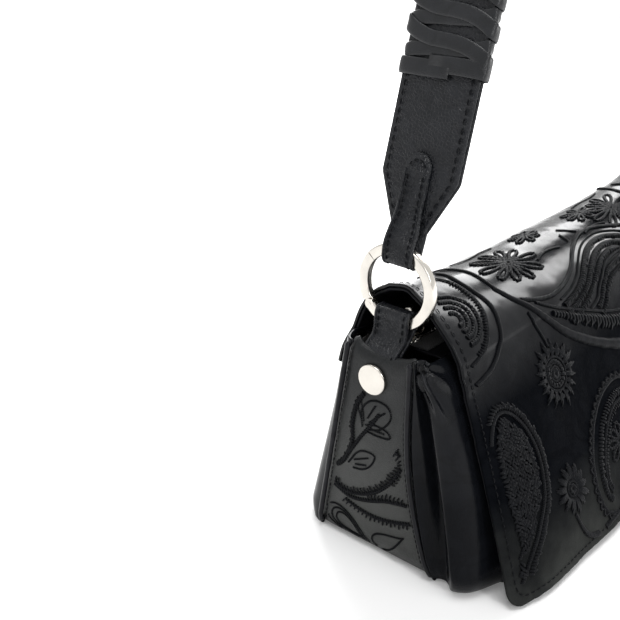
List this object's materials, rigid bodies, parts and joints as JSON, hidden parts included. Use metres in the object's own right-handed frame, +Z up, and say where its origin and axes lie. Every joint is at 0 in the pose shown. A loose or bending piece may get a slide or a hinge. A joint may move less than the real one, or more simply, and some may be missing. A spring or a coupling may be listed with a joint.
{
  "type": "baguette bag",
  "caption": "Small flap bag with folded ends, a top zip, two gate rings and a laced shoulder strap that swings on them.",
  "frame": {"origin": "on the ground, below the middle of the line between the two ring centres", "axes": "+X to the right seen from the front, -Y out of the front, +Z up"},
  "size_m": [0.31, 0.1273, 0.4184],
  "materials": {
    "outer_leather": "soft semi-gloss black leather",
    "welt_leather": "corded leather welt",
    "inner_leather": "smooth black lining leather",
    "lacing_leather": "flat leather lace",
    "stiffening_board": "matte",
    "lining_cloth": "plain woven cloth",
    "padding": "foam",
    "zip_tape_cloth": "woven tape",
    "zip_metal": "polished nickel",
    "bright_metal": "polished nickel",
    "snap_metal": "satin nickel"
  },
  "bodies": {
    "bag": {"base_panel": "outer_leather", "base_board": "stiffening_board", "back_panel": "outer_leather", "front_panel": "outer_leather", "end_panel_left": "outer_leather", "end_panel_right": "outer_leather", "welts_left": "welt_leather", "welts_right": "welt_leather", "lining_floor": "lining_cloth", "lining_front": "lining_cloth", "lining_rear": "lining_cloth", "lining_end_left": "lining_cloth", "lining_end_right": "lining_cloth", "zip_strip_front": "outer_leather", "zip_strip_rear": "outer_leather", "zip_tape_front": "zip_tape_cloth", "zip_tape_rear": "zip_tape_cloth", "zip_teeth_front": "zip_metal", "zip_teeth_rear": "zip_metal", "zip_end_stops": "zip_metal", "ring_tab_left": "outer_leather", "ring_tab_right": "outer_leather", "rivet_left": "bright_metal", "rivet_right": "bright_metal", "rivet_washer_left": "snap_metal", "rivet_washer_right": "snap_metal", "snap_socket": "snap_metal", "snap_socket_washer": "snap_metal", "flap_root": "outer_leather"},
    "flap_top": {"flap_top": "outer_leather", "flap_top_lining": "inner_leather"},
    "flap_front": {"flap_front": "outer_leather", "flap_front_lining": "inner_leather", "snap_stud": "snap_metal"},
    "zip_slider": {"zip_slider": "bright_metal"},
    "zip_pull": {"zip_pull": "bright_metal"},
    "ring_left": {"ring_left": "bright_metal", "gate_pin_left": "bright_metal"},
    "gate_left": {"gate_left": "bright_metal"},
    "ring_right": {"ring_right": "bright_metal", "gate_pin_right": "bright_metal"},
    "gate_right": {"gate_right": "bright_metal"},
    "strap": {"strap_outer": "outer_leather", "strap_backing": "inner_leather", "strap_core": "padding", "strap_lacing": "lacing_leather", "keeper_left": "outer_leather", "keeper_right": "outer_leather"}
  },
  "joints": [
    {"name": "strap_swing", "type": "hinge", "parent": "bag", "child": "strap", "pos_m": [0, 0, 0.132], "axis": [-1, 0, 0], "range_deg": [-75, 60]},
    {"name": "ring_left_spin", "type": "hinge", "parent": "bag", "child": "ring_left", "pos_m": [-0.136, 0, 0.132], "axis": [1, 0, 0], "continuous": true},
    {"name": "ring_right_spin", "type": "hinge", "parent": "bag", "child": "ring_right", "pos_m": [0.136, 0, 0.132], "axis": [1, 0, 0], "continuous": true},
    {"name": "gate_left_open", "type": "hinge", "parent": "ring_left", "child": "gate_left", "pos_m": [-0.136, 0.01341, 0.12075], "axis": [1, 0, 0], "range_deg": [-15, 0], "stiffness_Nm_per_rad": 0.005, "springref_deg": 5.73},
    {"name": "gate_right_open", "type": "hinge", "parent": "ring_right", "child": "gate_right", "pos_m": [0.136, 0.01341, 0.12075], "axis": [1, 0, 0], "range_deg": [-15, 0], "stiffness_Nm_per_rad": 0.005, "springref_deg": 5.73},
    {"name": "flap_lift", "type": "hinge", "parent": "bag", "child": "flap_top", "pos_m": [0, 0.02336, 0.107], "axis": [-1, 0, 0], "range_deg": [0, 18]},
    {"name": "flap_bend", "type": "hinge", "parent": "flap_top", "child": "flap_front", "pos_m": [0, -0.035, 0.104], "axis": [-1, 0, 0], "range_deg": [0, 145]},
    {"name": "zip_slide", "type": "slide", "parent": "bag", "child": "zip_slider", "axis": [1, 0, 0], "range_m": [0, 0.239]},
    {"name": "pull_swing", "type": "hinge", "parent": "zip_slider", "child": "zip_pull", "pos_m": [-0.12, 0, 0.1083], "axis": [0, 1, 0], "range_deg": [-10, 118]}
  ]
}
